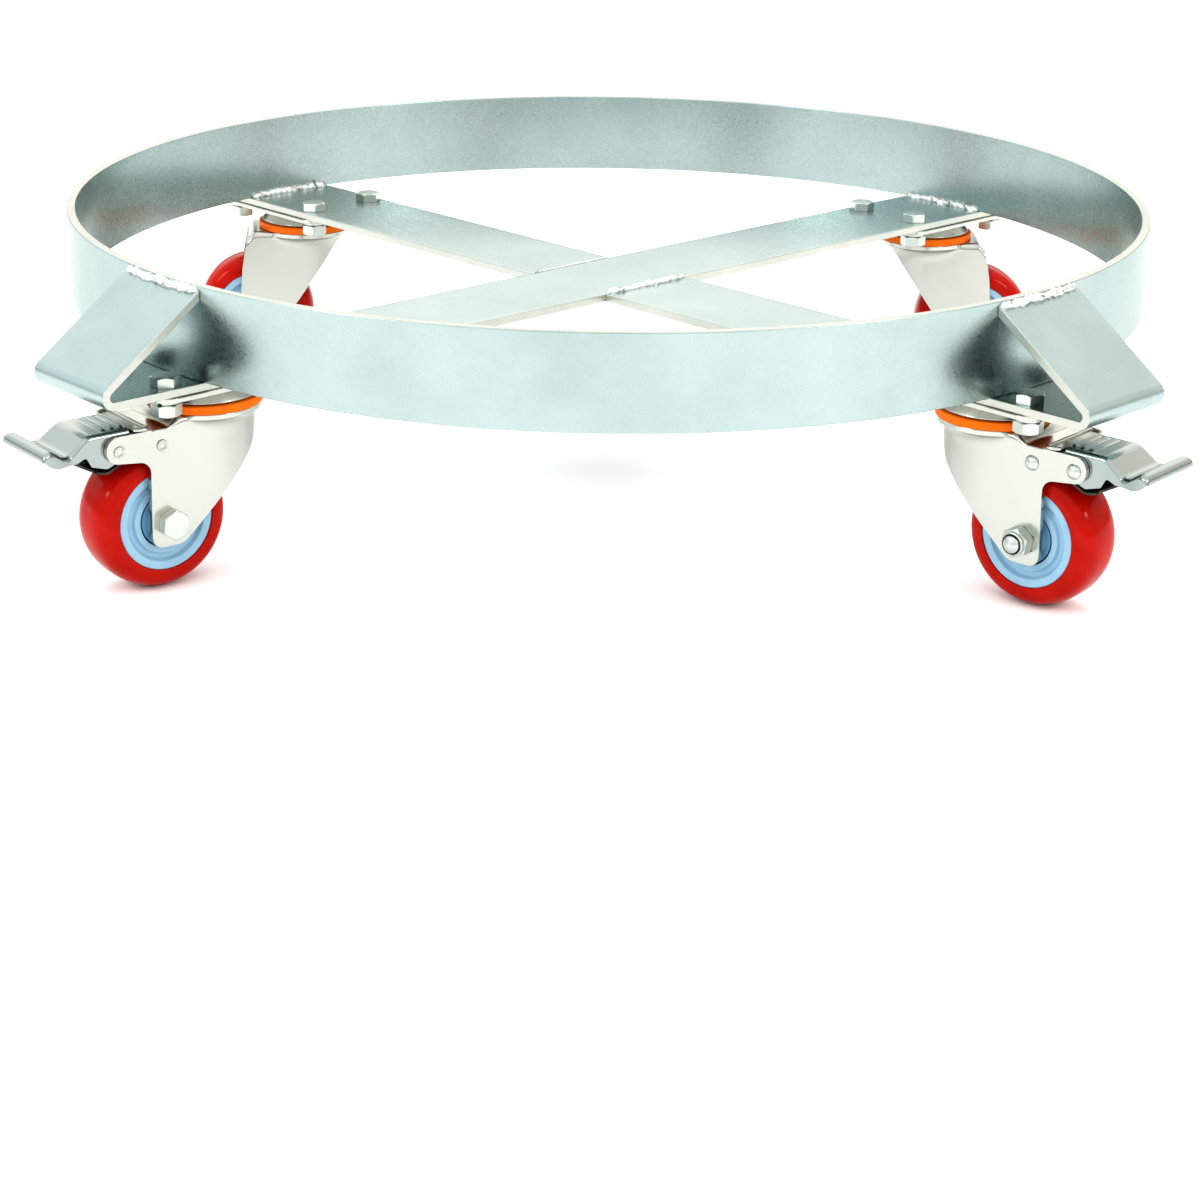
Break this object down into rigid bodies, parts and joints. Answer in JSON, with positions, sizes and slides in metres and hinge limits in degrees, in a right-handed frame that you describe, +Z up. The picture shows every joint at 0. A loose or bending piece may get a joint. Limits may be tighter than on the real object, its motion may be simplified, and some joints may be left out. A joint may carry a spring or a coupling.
{
  "type": "drum dolly",
  "caption": "Round dolly for a steel drum: a flat-bar ring on a welded cross with folded ends, on swivel casters, the front ones with foot brakes.",
  "frame": {"origin": "on the floor, under the centre of the ring", "axes": "+Z up, -Y the front, where the two braked casters are, +X to the right seen from the front"},
  "size_m": [0.62, 0.62, 0.1633],
  "materials": {
    "zinc_frame": "clear zinc plating on cold rolled flat bar, satin",
    "zinc_caster": "bright clear zinc plating on pressed sheet",
    "zinc_fastener": "bright zinc plated fastener",
    "steel": "ground steel",
    "seal": "moulded orange plastic",
    "cap": "moulded mid blue plastic",
    "hub": "moulded light blue plastic, semi-gloss",
    "tyre": "cast red polyurethane, glossy",
    "shoe": "blackened spring steel"
  },
  "bodies": {
    "frame": {"ring": "zinc_frame", "long_bar": "zinc_frame", "half_bar_front_right": "zinc_frame", "half_bar_rear_left": "zinc_frame", "plate_bolts": "zinc_fastener", "plate_washers": "zinc_fastener", "plate_nuts": "zinc_fastener", "top_plate_front_left": "zinc_caster", "top_plate_front_right": "zinc_caster", "top_plate_rear_left": "zinc_caster", "top_plate_rear_right": "zinc_caster", "kingpins": "steel", "swivel_balls": "steel"},
    "caster_front_left": {"fork_front_left": "zinc_caster", "seal_ring_front_left": "seal", "axle_bolt_front_left": "zinc_fastener", "axle_nut_front_left": "zinc_fastener", "axle_sleeve_front_left": "steel", "dust_caps_front_left": "cap", "brake_rivets_front_left": "zinc_fastener"},
    "wheel_front_left": {"tyre_front_left": "tyre", "wheel_hub_front_left": "hub", "wheel_bearings_front_left": "steel"},
    "pedal_front_left": {"brake_pedal_front_left": "zinc_caster"},
    "shoe_front_left": {"brake_shoe_front_left": "shoe"},
    "lock_front_left": {"lock_plate_front_left": "zinc_caster"},
    "caster_front_right": {"fork_front_right": "zinc_caster", "seal_ring_front_right": "seal", "axle_bolt_front_right": "zinc_fastener", "axle_nut_front_right": "zinc_fastener", "axle_sleeve_front_right": "steel", "dust_caps_front_right": "cap", "brake_rivets_front_right": "zinc_fastener"},
    "wheel_front_right": {"tyre_front_right": "tyre", "wheel_hub_front_right": "hub", "wheel_bearings_front_right": "steel"},
    "pedal_front_right": {"brake_pedal_front_right": "zinc_caster"},
    "shoe_front_right": {"brake_shoe_front_right": "shoe"},
    "lock_front_right": {"lock_plate_front_right": "zinc_caster"},
    "caster_rear_left": {"fork_rear_left": "zinc_caster", "seal_ring_rear_left": "seal", "axle_bolt_rear_left": "zinc_fastener", "axle_nut_rear_left": "zinc_fastener", "axle_sleeve_rear_left": "steel", "dust_caps_rear_left": "cap"},
    "wheel_rear_left": {"tyre_rear_left": "tyre", "wheel_hub_rear_left": "hub", "wheel_bearings_rear_left": "steel"},
    "caster_rear_right": {"fork_rear_right": "zinc_caster", "seal_ring_rear_right": "seal", "axle_bolt_rear_right": "zinc_fastener", "axle_nut_rear_right": "zinc_fastener", "axle_sleeve_rear_right": "steel", "dust_caps_rear_right": "cap"},
    "wheel_rear_right": {"tyre_rear_right": "tyre", "wheel_hub_rear_right": "hub", "wheel_bearings_rear_right": "steel"}
  },
  "joints": [
    {"name": "swivel_front_left", "type": "hinge", "parent": "frame", "child": "caster_front_left", "pos_m": [-0.2054, -0.20045, 0.0938], "axis": [0, 0, 1], "continuous": true},
    {"name": "spin_front_left", "type": "hinge", "parent": "caster_front_left", "child": "wheel_front_left", "pos_m": [-0.23145, -0.2223, 0.0381], "axis": [0.6428, -0.766, 0], "continuous": true},
    {"name": "pedal_press_front_left", "type": "hinge", "parent": "caster_front_left", "child": "pedal_front_left", "pos_m": [-0.25252, -0.23998, 0.0813], "axis": [0.6428, -0.766, 0], "range_deg": [0, 18]},
    {"name": "shoe_press_front_left", "type": "hinge", "parent": "caster_front_left", "child": "shoe_front_left", "pos_m": [-0.23382, -0.22429, 0.0805], "axis": [0.6428, -0.766, 0], "range_deg": [0, 9]},
    {"name": "lock_slide_front_left", "type": "slide", "parent": "caster_front_left", "child": "lock_front_left", "axis": [0.766, 0.6428, 0], "range_m": [0, 0.003]},
    {"name": "swivel_front_right", "type": "hinge", "parent": "frame", "child": "caster_front_right", "pos_m": [0.2054, -0.20045, 0.0938], "axis": [0, 0, 1], "continuous": true},
    {"name": "spin_front_right", "type": "hinge", "parent": "caster_front_right", "child": "wheel_front_right", "pos_m": [0.23145, -0.2223, 0.0381], "axis": [0.6428, 0.766, 0], "continuous": true},
    {"name": "pedal_press_front_right", "type": "hinge", "parent": "caster_front_right", "child": "pedal_front_right", "pos_m": [0.25252, -0.23998, 0.0813], "axis": [0.6428, 0.766, 0], "range_deg": [0, 18]},
    {"name": "shoe_press_front_right", "type": "hinge", "parent": "caster_front_right", "child": "shoe_front_right", "pos_m": [0.23382, -0.22429, 0.0805], "axis": [0.6428, 0.766, 0], "range_deg": [0, 9]},
    {"name": "lock_slide_front_right", "type": "slide", "parent": "caster_front_right", "child": "lock_front_right", "axis": [-0.766, 0.6428, 0], "range_m": [0, 0.003]},
    {"name": "swivel_rear_left", "type": "hinge", "parent": "frame", "child": "caster_rear_left", "pos_m": [-0.2054, 0.20045, 0.0938], "axis": [0, 0, 1], "continuous": true},
    {"name": "spin_rear_left", "type": "hinge", "parent": "caster_rear_left", "child": "wheel_rear_left", "pos_m": [-0.23907, 0.19571, 0.0381], "axis": [0.1392, -0.9903, 0], "continuous": true},
    {"name": "swivel_rear_right", "type": "hinge", "parent": "frame", "child": "caster_rear_right", "pos_m": [0.2054, 0.20045, 0.0938], "axis": [0, 0, 1], "continuous": true},
    {"name": "spin_rear_right", "type": "hinge", "parent": "caster_rear_right", "child": "wheel_rear_right", "pos_m": [0.2394, 0.20045, 0.0381], "axis": [0, 1, 0], "continuous": true}
  ],
  "couplings": [
    {"joint": "shoe_press_front_left", "follows": "pedal_press_front_left", "ratio": 0.5},
    {"joint": "lock_slide_front_left", "follows": "pedal_press_front_left", "m_per_rad": 0.0095397},
    {"joint": "shoe_press_front_right", "follows": "pedal_press_front_right", "ratio": 0.5},
    {"joint": "lock_slide_front_right", "follows": "pedal_press_front_right", "m_per_rad": 0.0095397}
  ]
}
